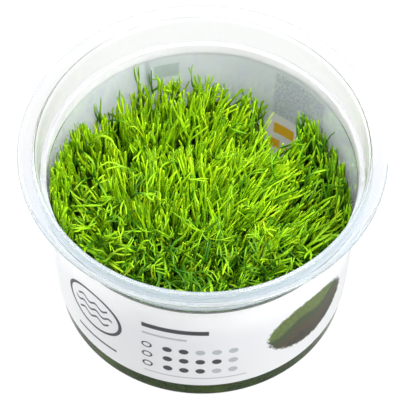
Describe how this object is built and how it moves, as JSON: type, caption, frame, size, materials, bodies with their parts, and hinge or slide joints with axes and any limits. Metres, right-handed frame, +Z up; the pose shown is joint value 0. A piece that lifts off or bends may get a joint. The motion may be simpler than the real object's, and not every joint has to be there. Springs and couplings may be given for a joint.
{
  "type": "crystalwort in a culture cup",
  "caption": "Crystalwort, a floating liverwort, as a dense mat of thin forked fronds in its clear round culture cup with a flat rim and a wrapped white label.",
  "frame": {"origin": "the middle of the cup's foot, on the surface that the cup stands on", "axes": "+Z up through the cup's mouth, -Y out through the front of the label"},
  "size_m": [0.101, 0.101, 0.0625],
  "materials": {
    "clear_plastic": "gloss",
    "label_paper": "satin",
    "crystalwort_green": "satin"
  },
  "bodies": {
    "root": {"cup": "clear_plastic", "label": "label_paper", "crystalwort": "crystalwort_green"}
  },
  "joints": []
}
